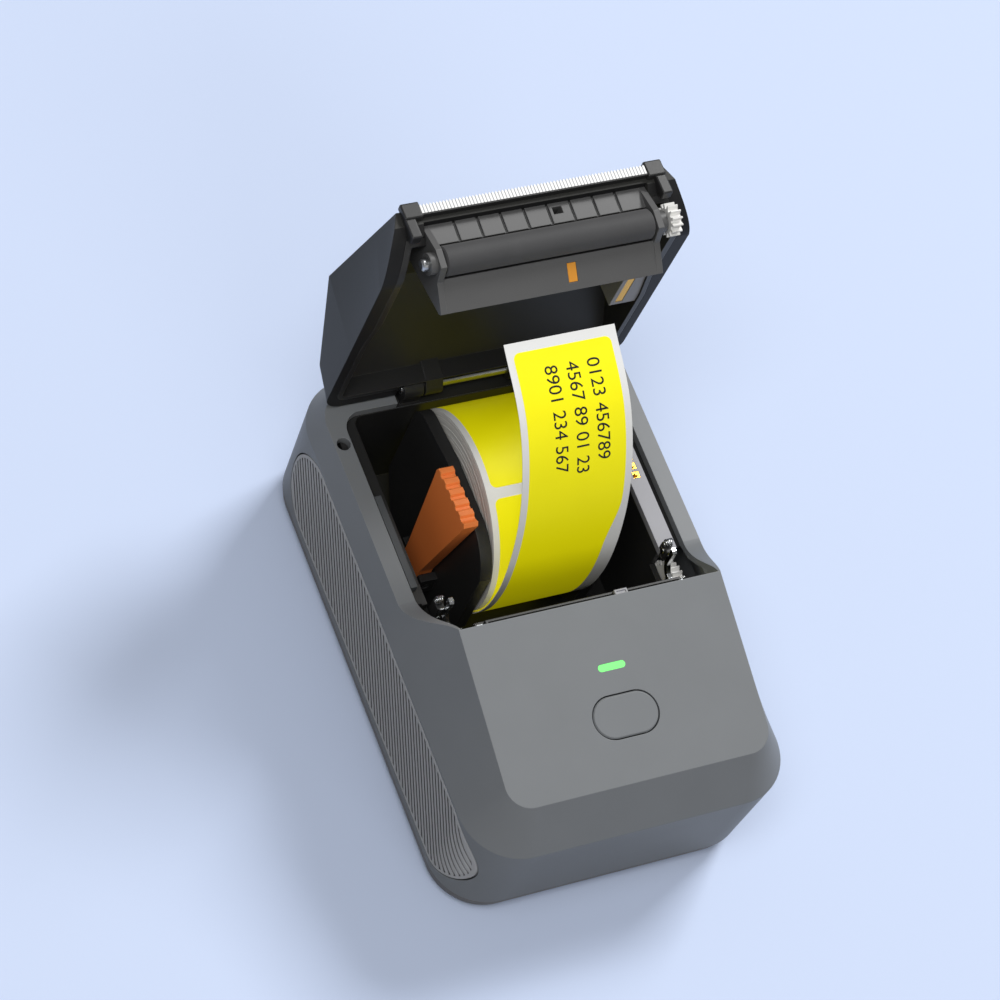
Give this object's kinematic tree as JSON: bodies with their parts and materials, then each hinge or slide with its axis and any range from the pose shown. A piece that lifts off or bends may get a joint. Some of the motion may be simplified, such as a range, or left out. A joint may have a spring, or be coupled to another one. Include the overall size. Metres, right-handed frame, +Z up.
{
  "type": "thermal label printer",
  "caption": "Compact desktop thermal label printer with its lid open, showing a label roll between centring guides, rubber platen, tear bar, power button and ribbed side grips",
  "frame": {"origin": "On the table under the middle of the open printer's bounding box, at the underside of the rubber feet", "axes": "X to the right seen from the front, -Y towards the front with the power button, Z up"},
  "size_m": [0.0832, 0.1375, 0.111],
  "materials": {
    "case_grey": "fine satin mould texture",
    "grip_grey": "slanting ribs, satin",
    "base_grey": "satin",
    "lid_grey": "fine satin mould texture",
    "black_plastic": "matt mould texture",
    "ledge_grey": "satin",
    "rubber_black": "matt rubber",
    "foot_rubber": "matt rubber",
    "steel": "ground bar",
    "clip_chrome": "bright plated",
    "white_plastic": "moulded, semi-gloss",
    "orange_plastic": "satin",
    "amber_window": "clear amber moulding",
    "gilt": "plated contact",
    "label_stock": "coated label paper on white liner",
    "core_card": "wound card",
    "head_ceramic": "glazed ceramic",
    "sink_alloy": "as extruded",
    "board_green": "solder mask",
    "cell_wrap": "shrink film",
    "light_green": "diffusing light window",
    "motor_steel": "plated can"
  },
  "bodies": {
    "printer": {"upper_housing": "case_grey", "left_grip": "grip_grey", "right_grip": "grip_grey", "bottom_cover": "base_grey", "rubber_feet": "foot_rubber", "roll_tray": "black_plastic", "hinge_pin": "steel", "left_trim": "case_grey", "contact_ledge": "ledge_grey", "contact_pins": "gilt", "label_strip": "label_stock", "thermal_head": "head_ceramic", "head_heat_sink": "sink_alloy", "head_carrier": "black_plastic", "left_platen_clip": "clip_chrome", "right_platen_clip": "clip_chrome", "drive_motor": "motor_steel", "drive_plate": "steel", "idler_axle": "steel", "relay_axle": "steel", "light_window": "light_green", "control_board": "board_green", "button_switch": "black_plastic", "battery_pack": "cell_wrap", "charging_socket": "steel", "socket_board": "board_green"},
    "lid": {"lid_shell": "lid_grey", "lid_liner": "black_plastic", "platen_bracket": "black_plastic", "sensor_window": "amber_window", "left_platen_bush": "black_plastic", "right_platen_bush": "black_plastic", "tear_bar_holder": "black_plastic", "tear_bar": "white_plastic", "lid_contact_block": "ledge_grey", "lid_contact_pad": "gilt"},
    "platen": {"platen_shaft": "steel", "platen_rubber": "rubber_black", "platen_gear": "white_plastic"},
    "idler": {"idler_gear": "white_plastic"},
    "relay": {"relay_gear": "white_plastic"},
    "rotor": {"motor_shaft": "steel", "motor_pinion": "white_plastic"},
    "roll": {"label_roll": "label_stock", "roll_core": "core_card"},
    "left_guide_set": {"left_guide": "black_plastic", "lever_pin": "steel"},
    "lock_lever": {"guide_lock": "orange_plastic"},
    "right_guide_set": {"right_guide": "black_plastic"},
    "centring_pinion": {"guide_pinion": "white_plastic"},
    "button": {"power_button": "case_grey"}
  },
  "joints": [
    {"name": "lid_hinge", "type": "hinge", "parent": "printer", "child": "lid", "pos_m": [0, 0.0496, 0.0438], "axis": [1, 0, 0], "range_deg": [0, 88], "deforming": ["label_strip"]},
    {"name": "platen_spin", "type": "hinge", "parent": "lid", "child": "platen", "pos_m": [0, 0.04703, 0.10595], "axis": [1, 0, 0], "continuous": true},
    {"name": "idler_spin", "type": "hinge", "parent": "printer", "child": "idler", "pos_m": [0.0318, -0.0126, 0.03178], "axis": [1, 0, 0], "continuous": true},
    {"name": "relay_spin", "type": "hinge", "parent": "printer", "child": "relay", "pos_m": [0.0318, -0.02749, 0.02915], "axis": [1, 0, 0], "continuous": true},
    {"name": "motor_spin", "type": "hinge", "parent": "printer", "child": "rotor", "pos_m": [0.0318, -0.03726, 0.02653], "axis": [1, 0, 0], "continuous": true},
    {"name": "roll_spin", "type": "hinge", "parent": "printer", "child": "roll", "pos_m": [0, 0.02114, 0.03206], "axis": [1, 0, 0], "continuous": true},
    {"name": "left_guide_slide", "type": "slide", "parent": "printer", "child": "left_guide_set", "axis": [-1, 0, 0], "range_m": [0, 0.0062]},
    {"name": "right_guide_slide", "type": "slide", "parent": "printer", "child": "right_guide_set", "axis": [1, 0, 0], "range_m": [0, 0.0062]},
    {"name": "centring_spin", "type": "hinge", "parent": "printer", "child": "centring_pinion", "pos_m": [0, 0.02114, 0.00425], "axis": [0, 0, -1], "range_deg": [0, 90]},
    {"name": "lock_pivot", "type": "hinge", "parent": "left_guide_set", "child": "lock_lever", "pos_m": [-0.02005, 0.0165, 0.016], "axis": [0, 1, 0], "range_deg": [-6, 0], "stiffness_Nm_per_rad": 0.05, "springref_deg": 2.86},
    {"name": "button_press", "type": "slide", "parent": "printer", "child": "button", "axis": [0, 0.2388, -0.9711], "range_m": [0, 0.0006], "stiffness_N_per_m": 400, "springref_m": -0.0005}
  ],
  "couplings": [
    {"joint": "relay_spin", "follows": "idler_spin", "ratio": -1.1429},
    {"joint": "motor_spin", "follows": "idler_spin", "ratio": 2.6667},
    {"joint": "right_guide_slide", "follows": "left_guide_slide", "ratio": 1},
    {"joint": "centring_spin", "follows": "left_guide_slide", "rad_per_m": 250}
  ]
}
